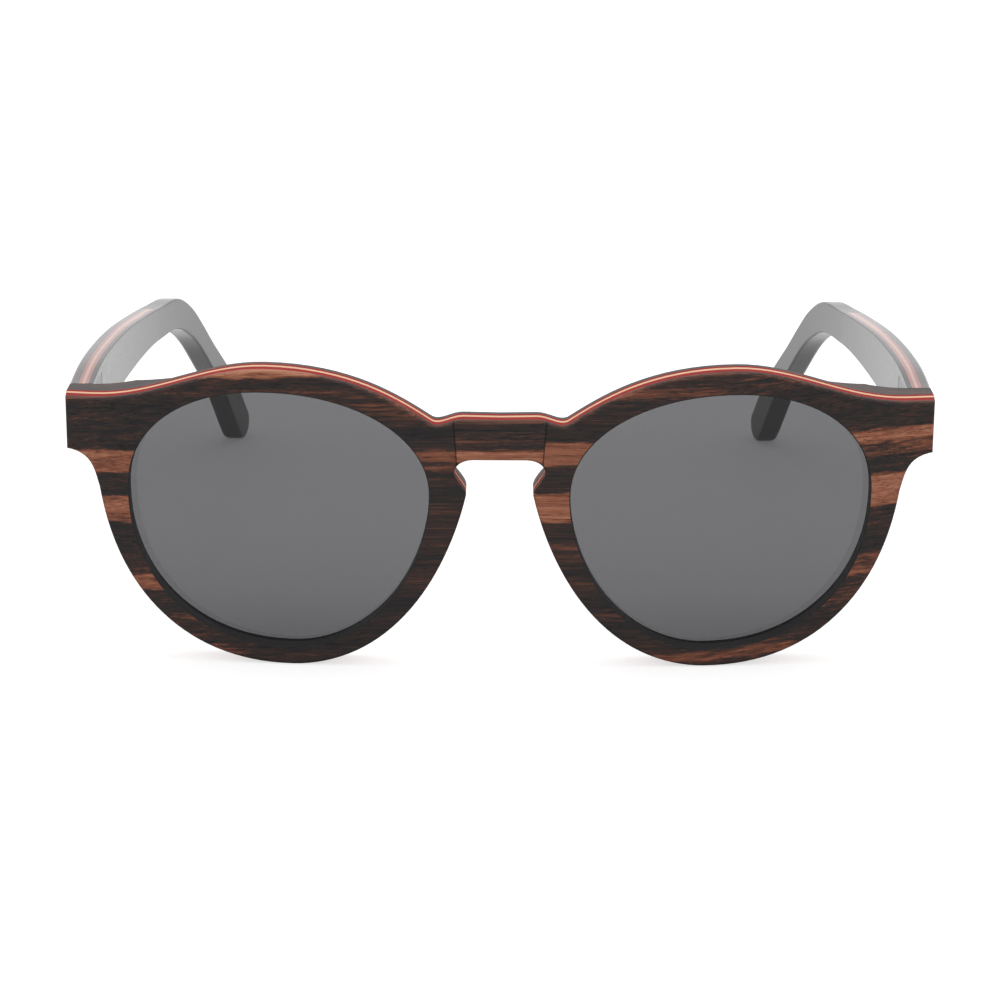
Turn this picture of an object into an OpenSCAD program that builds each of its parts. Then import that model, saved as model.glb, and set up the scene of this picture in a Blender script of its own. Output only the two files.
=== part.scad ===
// Wooden sunglasses: a laminated front with two lenses, two bent laminated
// temples with plain tips and a screwed metal hinge at each end piece.
// Millimetres. +Z is up, the front looks along -Y and the temples run back
// along +Y. The model stands on its two rims and two temple tips at Z = 0.
// "left" is the wearer's left, which is +X.

/* [Lens openings] */
// Width of one lens opening in the face
lens_w = 50.4; // [47:0.1:54]
// Height of one lens opening in the face
lens_h = 44.4; // [42:0.1:47]
// Distance between the two lens openings
lens_gap = 23.6; // [20:0.1:25]

/* [Front outline] */
// Radius that the front is bent to, seen from above
front_r = 500; // [400:10:900]
// Rim width under a lens
rim_low = 3.2; // [2.8:0.1:4.2]
// Rim width over a lens
rim_top = 3.8; // [3:0.1:4.5]
// Rim width at the temple side of a lens
rim_outer = 5.1; // [4.2:0.1:5.6]
// Rim width at the nose side of a lens
rim_nose = 6.2; // [5.4:0.1:6.8]
// Extra rim width halfway from the bottom of a lens to its temple side
rim_belly = 0.1; // [0:0.05:0.5]
// Extra rim width halfway from the bottom of a lens to its nose side
nose_belly = 0.4; // [0:0.05:0.6]
// Reach of an end piece past the rim
end_reach = 5.2; // [4.8:0.1:7]
// How much farther an end piece reaches at its lower corner
end_flare = 0.2; // [0:0.05:0.4]
// How much farther an end piece reaches at its back than at its face
end_lean = 0.4; // [0.2:0.05:0.6]
// Height of an end piece
end_h = 8.9; // [8.6:0.1:9.8]
// How far the top of an end piece lies under the top of the brow
end_drop = 5.7; // [5.2:0.1:6.2]
// Depth of the front at an end piece, where the hinge is let in
end_depth = 9.1; // [8.8:0.1:11]
// Height of the bridge over the nose
bridge_h = 6.8; // [6:0.1:8]
// Height of the top of the bridge over the widest line of the lenses
bridge_rise = 12.9; // [12.6:0.05:13.6]
// Height of the nose rests behind the rims
rest_h = 2.6; // [1.5:0.1:3.2]

/* [Front plies] */
// Thickness of the ebony face veneer
face_t = 1.2; // [1.1:0.05:1.5]
// Thickness of the red veneer behind the face
red_t = 1.6; // [1.3:0.05:1.7]
// Thickness of the cream veneer, which holds the lenses
cream_t = 1; // [0.9:0.05:1.3]
// Thickness of the red veneer before the back
rear_red_t = 0.95; // [0.8:0.05:1.2]
// Thickness of the ebony back behind the rims
back_t = 1.25; // [1:0.05:1.6]

/* [Lenses] */
// How far a lens reaches into the groove of the rim
lens_seat = 0.9; // [0.6:0.05:1.2]
// Play of a lens in its groove, on each side
lens_play = 0.05; // [0.02:0.01:0.1]
// How much wider the opening gets at each of the two plies behind a lens
rear_flare = 0.35; // [0.2:0.05:0.45]

/* [Temples] */
// Distance from the front end of a temple to the middle of its tip
temple_reach = 127.4; // [120:0.2:132]
// Height of a temple at the hinge
temple_h = 9.6; // [9.2:0.1:10.4]
// Height of a temple where it is thinnest, behind the ear
neck_h = 4.1; // [3.8:0.1:4.6]
// Radius that a temple is bent to, seen from above
temple_r = 505; // [420:5:600]
// How far a temple stands out past the end piece
temple_step = 0.6; // [0.2:0.1:0.8]
// Radius of the round tip
tip_r = 3.4; // [3:0.1:3.8]
// Thickness of the outer ebony veneer
outer_t = 1.6; // [1.4:0.05:1.8]
// Thickness of each coloured veneer
band_t = 0.55; // [0.5:0.05:0.65]
// Thickness of the inner ebony veneer
inner_t = 0.85; // [0.8:0.05:0.95]
// Length of the laminated part of a temple, from its front end to the joint with its tip
laminate_l = 67.8; // [64:0.2:72]
// Length of the tongue that joins the laminate to the tip
tongue_l = 8; // [6:0.5:10]
// Height of that tongue
tongue_h = 3; // [2.4:0.1:3.4]

/* [Hinges] */
// Height of a hinge
hinge_h = 7; // [6.4:0.1:7.6]
// Outside radius of a knuckle
knuckle_r = 1.5; // [1.4:0.05:1.6]
// Radius of the hinge screw
pivot_r = 0.6; // [0.5:0.05:0.65]
// Thickness of a hinge leaf
leaf_t = 1.1; // [1.05:0.05:1.2]
// Length of the leaf on a temple
leaf_l = 11; // [10:0.5:13]
// Width of the leaf on an end piece
leaf_w = 6.4; // [6.2:0.1:6.6]

/* [Hidden] */
// Clearances
butt_gap = 0.15;
knuckle_gap = 0.1;
slice_gap = 0.05;
pivot_gap = 0.05;
screw_gap = 0.03;
pocket_gap = 0.05;
tongue_gap = 0.05;
leaf_inset = 0.5;

// Small leaf screws
screw_r = 0.5;
screw_head_r = 0.95;
screw_head_h = 0.6;
screw_l = 2.4;
screw_slot_w = 0.24;
screw_slot_d = 0.25;

// Places of the leaf screws: inwards and up from the hinge, and back from it
front_screw_in = 3.6;
front_screw_rise = 1.9;
temple_screw_first = 4.4;
temple_screw_pitch = 3.6;

// Hinge screw
pivot_head_over = 0.5;
pivot_head_r = pivot_r + pivot_head_over;
pivot_head_h = 0.5;
pivot_short = 0.2;
pivot_slot_w = 0.3;
pivot_slot_d = 0.25;

// Overshoot of shapes that cut or bound others
over = 2;

// Lens outline
lens_in = lens_gap / 2;
lens_out = lens_in + lens_w;
lens_low = rim_low;
lens_top = lens_low + lens_h;
wide_z = lens_low + 0.612 * lens_h;
crown_x = lens_in + 0.544 * lens_w;
heel_x = lens_in + 0.458 * lens_w;
outer_fullness = 0.92;
brow_fullness = 0.97;
nose_fullness = 1.033;

// Front outline
nose_x = lens_in - rim_nose;
rim_x = lens_out + rim_outer;
end_x = rim_x + end_reach;
end_back = end_x + end_lean;
brow_z = lens_top + rim_top;
end_top = brow_z - end_drop;
end_low = end_top - end_h;
bridge_top = wide_z + bridge_rise;
bridge_low = bridge_top - bridge_h;
rim_fade = 22.5;
lean_run = 3.8;

// Keyhole under the bridge: half width of its flat top, and how far its sides swing out and down
key_flat = 4.4;
key_bulge = 2;
key_corner = 2.3;
bulge_x = nose_x + key_bulge;
bulge_z = bridge_low - key_corner;

// Notch beside the bridge: in from the lens opening, and its depth and length
notch_in = 1.05;
notch_d = 0.85;
notch_l = 4.6;
notch = [lens_in - notch_in, bridge_top - notch_d];

// Butt seams of the face, at the keyhole and at the top of the bridge
seam_low_x = bulge_x - 0.55;
seam_top_x = bulge_x + 0.15;

// Thick end of the back: length and height of the slopes that lead up to it
pad_run = 7.5;
pad_drop = 10;
pad_side = 0.6;

// Nose rests: roundness and the angle on the lens edge at which they end
ridge_r = 4;
rest_foot = 208;

// Depths of the plies, measured square to the face
red_d = face_t;
cream_d = red_d + red_t;
rear_red_d = cream_d + cream_t;
back_d = rear_red_d + rear_red_t;
rim_d = back_d + back_t;

// Plan positions, from the foremost line of the face
function sag(x) = front_r - sqrt(front_r * front_r - x * x);
end_square = 2.5;
end_y = sag(end_x - end_square) + end_depth;
temple_y = end_y + butt_gap;
tip_y = temple_y + temple_reach;
red_in = outer_t;
cream_in = red_in + band_t;
inner_red_in = cream_in + band_t;
inner_in = inner_red_in + band_t;
temple_t = inner_in + inner_t;
temple_out = end_x + temple_step;
temple_in = temple_out - temple_t;
temple_straight = 6;
temple_apex_y = temple_y + temple_straight;
joint_y = temple_y + laminate_l;
middle_y = (tip_y + tip_r) / 2;

// Hinge
hinge_x = temple_in - knuckle_r - knuckle_gap;
hinge_y = end_y + knuckle_r + knuckle_gap;
hinge_z = (end_top + end_low) / 2;
hinge_top = hinge_z + hinge_h / 2;
hinge_low = hinge_z - hinge_h / 2;
knuckle_h = (hinge_h - 2 * slice_gap) / 3;
front_screws = [for (up = [-1, 1]) [hinge_x - front_screw_in, end_y, hinge_z + up * front_screw_rise]];
temple_screws = [for (i = [0, 1])
    [temple_in, hinge_y + temple_screw_first + i * temple_screw_pitch, hinge_z]];

$fn = 48;

// Points of a cubic curve, without its last point
function curve(a, b, c, d, n) = [for (i = [0 : n - 1])
    let (t = i / n, s = 1 - t) s * s * s * a + 3 * s * s * t * b + 3 * s * t * t * c + t * t * t * d];

// Point on the edge of a lens opening: 0 temple side, 90 top, 180 nose side, 270 bottom
function lens_edge(a) = let (
    up = sin(a) >= 0,
    out = cos(a) >= 0,
    x = up ? crown_x : heel_x,
    rx = out ? lens_out - x : x - lens_in,
    rz = up ? lens_top - wide_z : wide_z - lens_low,
    n = out ? outer_fullness : up ? brow_fullness : nose_fullness)
    [x + rx * sign(cos(a)) * pow(abs(cos(a)), n), wide_z + rz * sign(sin(a)) * pow(abs(sin(a)), n)];

// The same point, moved out by w
function lens_grown(a, w) = let (
    t = lens_edge(a + 0.5) - lens_edge(a - 0.5))
    lens_edge(a) + w / norm(t) * [t[1], -t[0]];

function rim_w(a) = let (
    out = cos(a) >= 0,
    side = out ? rim_outer : rim_nose,
    near = max(0, 1 - (wide_z - lens_edge(a)[1]) / rim_fade),
    belly = out ? rim_belly : nose_belly)
    rim_low + (side - rim_low) * near * near + belly * sin(2 * a) * sin(2 * a);

function lens_loop(w) = [for (a = [0 : 4 : 356]) lens_grown(a, w)];

// Outline of the +X half, from under the bridge round the rim to the top of the bridge
fillet_rise = end_low - wide_z;
brow_run = rim_x + 1 - crown_x;
brow_fall = crown_x - notch[0];
half_outline = concat(
    [[0, bridge_low]],
    curve([key_flat, bridge_low], [0.4 * key_flat + 0.6 * bulge_x, bridge_low],
        [bulge_x, bridge_low - 0.45 * key_corner], [bulge_x, bulge_z], 7),
    curve([bulge_x, bulge_z], [bulge_x - 0.05 * key_bulge, 0.72 * bulge_z + 0.28 * wide_z],
        [nose_x, 0.28 * bulge_z + 0.72 * wide_z], [nose_x, wide_z], 8),
    [for (a = [180 : 3 : 357]) lens_grown(a, rim_w(a))],
    curve([rim_x, wide_z], [rim_x + 0.16 * end_reach, wide_z + 0.454 * fillet_rise],
        [rim_x + 0.194 * end_reach, end_low - 0.079 * fillet_rise], [end_back + end_flare, end_low], 12),
    [[end_back + end_flare, end_low], [end_back, end_top]],
    curve([crown_x + brow_run, end_top], [crown_x + 0.632 * brow_run, end_top],
        [crown_x + 0.36 * brow_run, brow_z], [crown_x, brow_z], 16),
    curve([crown_x, brow_z], [crown_x - 0.508 * brow_fall, brow_z],
        notch + [0.212 * brow_fall, 0.413 * (brow_z - notch[1])],
        notch + [0.11 * notch_l, 0.12 * notch_d], 16),
    curve(notch + [0.11 * notch_l, 0.12 * notch_d], notch + [-0.22 * notch_l, -0.59 * notch_d],
        notch + [-0.57 * notch_l, 1.12 * notch_d], notch + [-notch_l, 1.12 * notch_d], 8),
    [notch + [-notch_l, 1.12 * notch_d], [0, bridge_top]]);

front_outline = concat(half_outline,
    [for (i = [len(half_outline) - 2 : -1 : 1]) [-half_outline[i][0], half_outline[i][1]]]);

// Course of a temple seen from the side: [share of its reach, share of its height,
// share of its extra depth at the hinge, share of its extra depth at the tip]
temple_mid = end_top - temple_h / 2;
neck_r = neck_h / 2;
temple_course = [
    [0, 1, 1, 0],
    [0.12, 1.007, 1.06, 0],
    [0.3125, 0.9954, 0.818, 0],
    [0.4772, 0.9714, 0.462, 0],
    [0.5635, 0.9501, 0.36, 0],
    [0.6568, 0.92, 0.335, 0],
    [0.7248, 0.8358, 0.265, 0],
    [0.7806, 0.7252, 0.131, 0],
    [0.8393, 0.5792, 0, 0.226],
    [0.9052, 0.409, 0, 0.45],
    [0.9545, 0.25, 0, 0.85],
    [1, tip_r / temple_mid, 0, 1]];
spine = [for (c = temple_course) [
    temple_y + c[0] * temple_reach,
    c[1] * temple_mid,
    neck_r + c[2] * (temple_h / 2 - neck_r) + c[3] * (tip_r - neck_r)]];

// Smooth line through a list of points
function through(p, i, t) = let (
    b = p[i],
    c = p[i + 1],
    a = i > 0 ? p[i - 1] : 2 * b - c,
    d = i + 2 < len(p) ? p[i + 2] : 2 * c - b)
    0.5 * (2 * b + (c - a) * t + (2 * a - 5 * b + 4 * c - d) * t * t + (3 * b - a - 3 * c + d) * t * t * t);

fine_spine = concat(
    [for (i = [0 : len(spine) - 2], j = [0 : 5]) through(spine, i, j / 6)],
    [spine[len(spine) - 1]]);
last = len(fine_spine) - 1;
function heading(i) = let (
    d = fine_spine[min(i + 1, last)] - fine_spine[max(i - 1, 0)])
    i == 0 ? 0 : atan2(d[1], d[0]);
function beside(i, turn) = let (
    p = fine_spine[i],
    a = heading(i) + turn)
    [p[0] + p[2] * cos(a), p[1] + p[2] * sin(a)];
temple_outline = concat(
    [for (i = [0 : last]) beside(i, 90)],
    [for (turn = [85 : -5 : -85]) beside(last, turn)],
    [for (i = [last : -1 : 0]) beside(i, -90)]);

// Height of the middle of the tongue
joint_z = lookup(joint_y + tongue_l / 2, [for (p = fine_spine) [p[0], p[1]]]);

// Moves a child from the face line to the middle of the model
module place() {
    translate([0, -middle_y, 0]) children();
}

// +X child as it is, or its mirror image for -X
module on_side(left) {
    if (left) children();
    else mirror([1, 0, 0]) children();
}

// Extrudes an X-Z outline along Y
module along_y(points, y0, y1) {
    translate([0, y1, 0]) rotate([90, 0, 0]) linear_extrude(y1 - y0) polygon(points);
}

// Extrudes a Y-Z outline along X
module along_x(points, x0, x1) {
    translate([x0, 0, 0]) rotate([90, 0, 90]) linear_extrude(x1 - x0) polygon(points);
}

// Layer of the bent front between two depths
module front_layer(d0, d1) {
    translate([0, front_r, -over]) difference() {
        cylinder(r = front_r - d0, h = brow_z + 2 * over, $fn = 720);
        translate([0, 0, -over]) cylinder(r = front_r - d1, h = brow_z + 4 * over, $fn = 720);
    }
}

// Both lens openings, grown by w
module lens_holes(w) {
    for (left = [true, false])
        on_side(left) along_y(lens_loop(w), -over, end_y + over);
}

// Space of the front seen from before it, without what the leaning end pieces lack at the face
module front_space() {
    face_y = sag(end_x);
    lean = end_lean / lean_run;
    difference() {
        along_y(front_outline, -over, end_y + over);
        for (left = [true, false])
            on_side(left) translate([0, 0, -over]) linear_extrude(brow_z + 2 * over) polygon([
                [end_x - lean * (face_y + 2 * over), -2 * over],
                [end_x + lean * (lean_run + over), face_y + lean_run + over],
                [end_x + 2 * over, face_y + lean_run + over],
                [end_x + 2 * over, -2 * over]]);
    }
}

module front_ply(d0, d1, w) {
    difference() {
        intersection() {
            front_layer(d0, d1);
            front_space();
        }
        lens_holes(w);
    }
}

// Space of the bridge piece of the face, between its two butt seams
module bridge_space() {
    along_y([[-seam_low_x, bulge_z], [seam_low_x, bulge_z],
        [seam_top_x, bridge_top], [seam_top_x, bridge_top + over],
        [-seam_top_x, bridge_top + over], [-seam_top_x, bridge_top]], -over, end_y);
}

// +X half of the face beside the bridge piece
module face_half() {
    difference() {
        intersection() {
            front_ply(0, red_d, 0);
            translate([0, -over, -over]) cube([end_x + over, end_y + over, brow_z + 2 * over]);
        }
        bridge_space();
    }
}

module face_veneer_left() {
    color([0.24, 0.14, 0.11]) place() on_side(true) face_half();
}

module face_veneer_bridge() {
    color([0.36, 0.19, 0.14]) place() intersection() {
        front_ply(0, red_d, 0);
        bridge_space();
    }
}

module face_veneer_right() {
    color([0.24, 0.14, 0.11]) place() on_side(false) face_half();
}

module front_red_veneer() {
    color([0.65, 0.16, 0.15]) place() front_ply(red_d, cream_d, 0);
}

module front_cream_veneer() {
    color([0.93, 0.8, 0.66]) place() front_ply(cream_d, rear_red_d, lens_seat);
}

module front_rear_red_veneer() {
    color([0.65, 0.16, 0.15]) place() front_ply(rear_red_d, back_d, rear_flare);
}

// Space behind a given depth of the front
module behind(d) {
    translate([0, front_r, -over]) cylinder(r = front_r - d, h = brow_z + 2 * over, $fn = 720);
}

// Thick part of the back at the +X end piece, sloping down to the thin rim
module end_pad() {
    ramp_x = lens_out - pad_run;
    pad_z = end_low - pad_drop;
    intersection() {
        linear_extrude(brow_z + over) polygon([
            [ramp_x, sag(ramp_x) + rim_d - 0.2], [lens_out - pad_side, end_y], [end_x + over, end_y],
            [end_x + over, 0], [ramp_x, 0]]);
        along_x([
            [sag(rim_x) + rim_d - 0.4, pad_z], [end_y, end_low], [end_y + over, end_low],
            [end_y + over, brow_z + over], [0, brow_z + over], [0, pad_z]], ramp_x - over, end_x + over);
        behind(back_d);
    }
}

// Rounded ridge behind the nose side of the +X rim, which rests on the nose
module nose_rest() {
    low = lens_grown(rest_foot, rim_w(rest_foot) / 2);
    high = lens_grown(180, rim_nose / 2);
    rise = high - low;
    intersection() {
        translate([low[0], rim_d + rest_h - ridge_r, low[1]])
            rotate([0, atan2(rise[0], rise[1]), 0]) {
                cylinder(r = ridge_r, h = norm(rise));
                sphere(r = ridge_r);
                translate([0, 0, norm(rise)]) sphere(r = ridge_r);
            }
        behind(back_d);
    }
}

// Pocket and pilot holes for the leaf on the +X end piece
module front_leaf_seat() {
    translate([hinge_x + knuckle_r - leaf_w - pocket_gap, end_y - leaf_t, hinge_low - pocket_gap])
        cube([leaf_w + 2 * pocket_gap, leaf_t + over, hinge_h + 2 * pocket_gap]);
    for (p = front_screws)
        translate(p) rotate([90, 0, 0]) cylinder(r = screw_r + screw_gap, h = screw_l + screw_gap);
}

module front_back() {
    color([0.2, 0.14, 0.12]) place() difference() {
        intersection() {
            union() {
                front_layer(back_d, rim_d);
                for (left = [true, false]) on_side(left) {
                    end_pad();
                    nose_rest();
                }
            }
            front_space();
        }
        lens_holes(2 * rear_flare);
        for (left = [true, false]) on_side(left) front_leaf_seat();
    }
}

module lens() {
    intersection() {
        front_layer(cream_d + lens_play, rear_red_d - lens_play);
        along_y(lens_loop(lens_seat - lens_play), -over, end_y);
    }
}

module lens_left() {
    color([0.25, 0.26, 0.28, 0.8]) place() on_side(true) lens();
}

module lens_right() {
    color([0.25, 0.26, 0.28, 0.8]) place() on_side(false) lens();
}

// Countersunk hole for a leaf screw, entered along -Z from its mouth at the origin
module screw_hole() {
    translate([0, 0, -leaf_t - over]) cylinder(r = screw_r + screw_gap, h = leaf_t + 2 * over);
    translate([0, 0, -screw_head_h])
        cylinder(r1 = screw_r + screw_gap, r2 = screw_head_r + screw_gap, h = screw_head_h);
    cylinder(r = screw_head_r + screw_gap, h = over);
}

module leaf_screw() {
    difference() {
        union() {
            translate([0, 0, -screw_l]) cylinder(r = screw_r, h = screw_l - screw_head_h / 2);
            translate([0, 0, -screw_head_h]) cylinder(r1 = screw_r, r2 = screw_head_r, h = screw_head_h);
        }
        translate([-screw_head_r, -screw_slot_w / 2, -screw_slot_d])
            cube([2 * screw_head_r, screw_slot_w, screw_slot_d + over]);
    }
}

// Tube of one hinge knuckle, number 0 at the bottom to 2 at the top
module knuckle(i) {
    translate([hinge_x, hinge_y, hinge_low + i * (knuckle_h + slice_gap)])
        cylinder(r = knuckle_r, h = knuckle_h);
}

module knuckle_bore() {
    translate([hinge_x, hinge_y, hinge_low - over]) cylinder(r = pivot_r + pivot_gap, h = hinge_h + 2 * over);
    translate([hinge_x, hinge_y, hinge_top - pivot_head_h])
        cylinder(r = pivot_head_r + pivot_gap, h = pivot_head_h + over);
}

module front_leaf() {
    difference() {
        union() {
            translate([hinge_x + knuckle_r - leaf_w, end_y - leaf_t, hinge_low])
                cube([leaf_w, leaf_t, hinge_h]);
            for (i = [0, 2]) {
                knuckle(i);
                translate([hinge_x - knuckle_r, end_y - leaf_t / 2, hinge_low + i * (knuckle_h + slice_gap)])
                    cube([knuckle_r, hinge_y - end_y + leaf_t / 2, knuckle_h]);
            }
        }
        knuckle_bore();
        for (p = front_screws) translate(p) rotate([-90, 0, 0]) screw_hole();
    }
}

module front_leaf_left() {
    color([0.72, 0.73, 0.75]) place() on_side(true) front_leaf();
}

module front_leaf_right() {
    color([0.72, 0.73, 0.75]) place() on_side(false) front_leaf();
}

module front_leaf_screws() {
    color([0.6, 0.6, 0.62]) place()
        for (left = [true, false], p = front_screws)
            on_side(left) translate(p) rotate([-90, 0, 0]) leaf_screw();
}

module hinge_screw() {
    translate([hinge_x, hinge_y, 0]) difference() {
        union() {
            translate([0, 0, hinge_low + pivot_short])
                cylinder(r = pivot_r, h = hinge_h - pivot_short - pivot_head_h / 2);
            translate([0, 0, hinge_top - pivot_head_h]) cylinder(r = pivot_head_r, h = pivot_head_h);
        }
        translate([-pivot_head_r - over, -pivot_slot_w / 2, hinge_top - pivot_slot_d])
            cube([2 * (pivot_head_r + over), pivot_slot_w, pivot_slot_d + over]);
    }
}

module hinge_screw_left() {
    color([0.6, 0.6, 0.62]) place() on_side(true) hinge_screw();
}

module hinge_screw_right() {
    color([0.6, 0.6, 0.62]) place() on_side(false) hinge_screw();
}

// Layer of a bent temple between two depths from its outer face
module temple_layer(d0, d1) {
    translate([temple_out - temple_r, temple_apex_y, -over]) difference() {
        cylinder(r = temple_r - d0, h = end_top + 2 * over, $fn = 720);
        translate([0, 0, -over]) cylinder(r = temple_r - d1, h = end_top + 4 * over, $fn = 720);
    }
}

// Space of a temple between two distances behind the face
module temple_stretch(y0, y1) {
    intersection() {
        along_x(temple_outline, 0, temple_out + over);
        translate([0, y0, -over]) cube([temple_out + over, y1 - y0, end_top + 2 * over]);
    }
}

// Space of the tongue that joins the laminate to the tip, grown by w
module tongue_space(w) {
    translate([0, joint_y - over, joint_z - tongue_h / 2 - w])
        cube([temple_out + over, tongue_l + over + w, tongue_h + 2 * w]);
}

// One veneer of a temple, with the pocket and the holes of the leaf cut out of it
module temple_ply(d0, d1) {
    difference() {
        intersection() {
            temple_layer(d0, d1);
            temple_stretch(0, joint_y);
        }
        temple_leaf_seat();
    }
}

// Pocket and pilot holes for the leaf on the +X temple
module temple_leaf_seat() {
    translate([temple_in - over, temple_y + leaf_inset - pocket_gap, hinge_low - pocket_gap])
        cube([leaf_t + over, leaf_l + 2 * pocket_gap, hinge_h + 2 * pocket_gap]);
    for (p = temple_screws)
        translate(p) rotate([0, 90, 0]) cylinder(r = screw_r + screw_gap, h = screw_l + screw_gap);
}

module temple_outer() {
    temple_ply(0, red_in);
}

module temple_red() {
    temple_ply(red_in, cream_in);
}

module temple_cream() {
    temple_ply(cream_in, inner_red_in);
    intersection() {
        temple_layer(cream_in, inner_red_in);
        tongue_space(0);
    }
}

module temple_inner_red() {
    temple_ply(inner_red_in, inner_in);
}

module temple_inner() {
    temple_ply(inner_in, temple_t);
}

module temple_tip() {
    difference() {
        intersection() {
            temple_layer(0, temple_t);
            temple_stretch(joint_y, tip_y + 2 * tip_r);
        }
        intersection() {
            temple_layer(cream_in - tongue_gap, inner_red_in + tongue_gap);
            tongue_space(tongue_gap);
        }
    }
}

module temple_leaf() {
    difference() {
        union() {
            translate([temple_in, temple_y + leaf_inset, hinge_low]) cube([leaf_t, leaf_l, hinge_h]);
            knuckle(1);
            translate([hinge_x, hinge_y, hinge_low + knuckle_h + slice_gap])
                cube([temple_in + leaf_t / 2 - hinge_x, knuckle_r, knuckle_h]);
        }
        knuckle_bore();
        for (p = temple_screws) translate(p) rotate([0, -90, 0]) screw_hole();
    }
}

module temple_leaf_screws() {
    for (p = temple_screws) translate(p) rotate([0, -90, 0]) leaf_screw();
}

module temple_outer_left() {
    color([0.24, 0.14, 0.11]) place() on_side(true) temple_outer();
}

module temple_red_left() {
    color([0.65, 0.16, 0.15]) place() on_side(true) temple_red();
}

module temple_cream_left() {
    color([0.93, 0.8, 0.66]) place() on_side(true) temple_cream();
}

module temple_inner_red_left() {
    color([0.65, 0.16, 0.15]) place() on_side(true) temple_inner_red();
}

module temple_inner_left() {
    color([0.2, 0.14, 0.12]) place() on_side(true) temple_inner();
}

module temple_tip_left() {
    color([0.1, 0.1, 0.1]) place() on_side(true) temple_tip();
}

module temple_leaf_left() {
    color([0.72, 0.73, 0.75]) place() on_side(true) temple_leaf();
}

module temple_leaf_screws_left() {
    color([0.6, 0.6, 0.62]) place() on_side(true) temple_leaf_screws();
}

module temple_outer_right() {
    color([0.24, 0.14, 0.11]) place() on_side(false) temple_outer();
}

module temple_red_right() {
    color([0.65, 0.16, 0.15]) place() on_side(false) temple_red();
}

module temple_cream_right() {
    color([0.93, 0.8, 0.66]) place() on_side(false) temple_cream();
}

module temple_inner_red_right() {
    color([0.65, 0.16, 0.15]) place() on_side(false) temple_inner_red();
}

module temple_inner_right() {
    color([0.2, 0.14, 0.12]) place() on_side(false) temple_inner();
}

module temple_tip_right() {
    color([0.1, 0.1, 0.1]) place() on_side(false) temple_tip();
}

module temple_leaf_right() {
    color([0.72, 0.73, 0.75]) place() on_side(false) temple_leaf();
}

module temple_leaf_screws_right() {
    color([0.6, 0.6, 0.62]) place() on_side(false) temple_leaf_screws();
}

face_veneer_left();
face_veneer_bridge();
face_veneer_right();
front_red_veneer();
front_cream_veneer();
front_rear_red_veneer();
front_back();
lens_left();
lens_right();
front_leaf_left();
front_leaf_right();
front_leaf_screws();
hinge_screw_left();
hinge_screw_right();
temple_outer_left();
temple_red_left();
temple_cream_left();
temple_inner_red_left();
temple_inner_left();
temple_tip_left();
temple_leaf_left();
temple_leaf_screws_left();
temple_outer_right();
temple_red_right();
temple_cream_right();
temple_inner_red_right();
temple_inner_right();
temple_tip_right();
temple_leaf_right();
temple_leaf_screws_right();
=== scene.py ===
"""Looks of the wooden sunglasses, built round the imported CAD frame. Metres."""

import math

import bmesh
import bpy
from mathutils import Euler, Matrix, Vector


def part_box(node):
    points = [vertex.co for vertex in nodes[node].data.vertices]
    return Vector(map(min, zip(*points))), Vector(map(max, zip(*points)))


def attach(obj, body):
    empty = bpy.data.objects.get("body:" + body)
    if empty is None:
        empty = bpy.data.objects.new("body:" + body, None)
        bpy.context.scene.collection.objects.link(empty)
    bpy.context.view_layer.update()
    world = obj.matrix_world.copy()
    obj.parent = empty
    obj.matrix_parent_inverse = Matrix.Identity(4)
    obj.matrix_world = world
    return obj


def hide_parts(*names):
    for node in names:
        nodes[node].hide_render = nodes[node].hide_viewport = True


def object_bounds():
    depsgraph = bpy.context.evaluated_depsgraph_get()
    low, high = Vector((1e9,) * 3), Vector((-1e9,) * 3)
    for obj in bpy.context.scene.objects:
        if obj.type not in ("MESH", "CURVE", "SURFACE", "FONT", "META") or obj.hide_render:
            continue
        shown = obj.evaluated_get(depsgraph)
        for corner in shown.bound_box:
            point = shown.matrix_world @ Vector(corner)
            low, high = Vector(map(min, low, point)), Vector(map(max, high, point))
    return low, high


MM = 0.001
SIDES = ("left", "right")
X_AXIS = 0
Y_AXIS = 1

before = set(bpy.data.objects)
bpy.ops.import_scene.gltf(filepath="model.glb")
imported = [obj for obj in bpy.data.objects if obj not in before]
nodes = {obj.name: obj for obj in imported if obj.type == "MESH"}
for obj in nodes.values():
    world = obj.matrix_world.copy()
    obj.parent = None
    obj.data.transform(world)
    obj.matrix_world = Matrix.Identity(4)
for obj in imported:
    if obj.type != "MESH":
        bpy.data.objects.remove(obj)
cad_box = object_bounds()

# Radii to which the front and the temples are bent, and depths of their plies
FRONT_R = 500 * MM
FACE_DEPTH = 1.2 * MM
TEMPLE_R = 505 * MM
TEMPLE_STRAIGHT = 6 * MM
TEMPLE_PLY = 1.6 * MM
TEMPLE_INNER = 3.25 * MM
TEMPLE_DEPTH = 4.1 * MM

# Places in the CAD frame
FACE_Y = cad_box[0].y
TEMPLE_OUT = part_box("temple_outer_left")[1].x
TEMPLE_FRONT_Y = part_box("temple_outer_left")[0].y
TEMPLE_APEX_Y = TEMPLE_FRONT_Y + TEMPLE_STRAIGHT
TEMPLE_JOINT_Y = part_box("temple_tip_left")[0].y
TIP_END_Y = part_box("temple_tip_left")[1].y

# Middle of the left lens opening, and its top in millimetres
LENS_CENTRE = Vector((37 * MM, 0, 25.4 * MM))
LENS_TOP = 47.6

# Seams of the face in millimetres: half width and height at the keyhole and at the top
SEAM_LOW = (7.05, 34.17)
SEAM_TOP = (7.75, 43.27)
SEAM_LINE = 0.16
SEAM_SHADE = 0.7


# Camera, at the photograph's viewing angle: distance before the face, height, tilts and pixels

EYE_AWAY = 0.5
EYE_HEIGHT = 0.18275
PITCH_DOWN = 0.30425
ROLL = math.radians(0.3)
FOCAL_PIXELS = 3137.1
FRAME_PIXELS = 1000
CENTRE_PIXEL = (499.5, 523.0)

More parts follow.
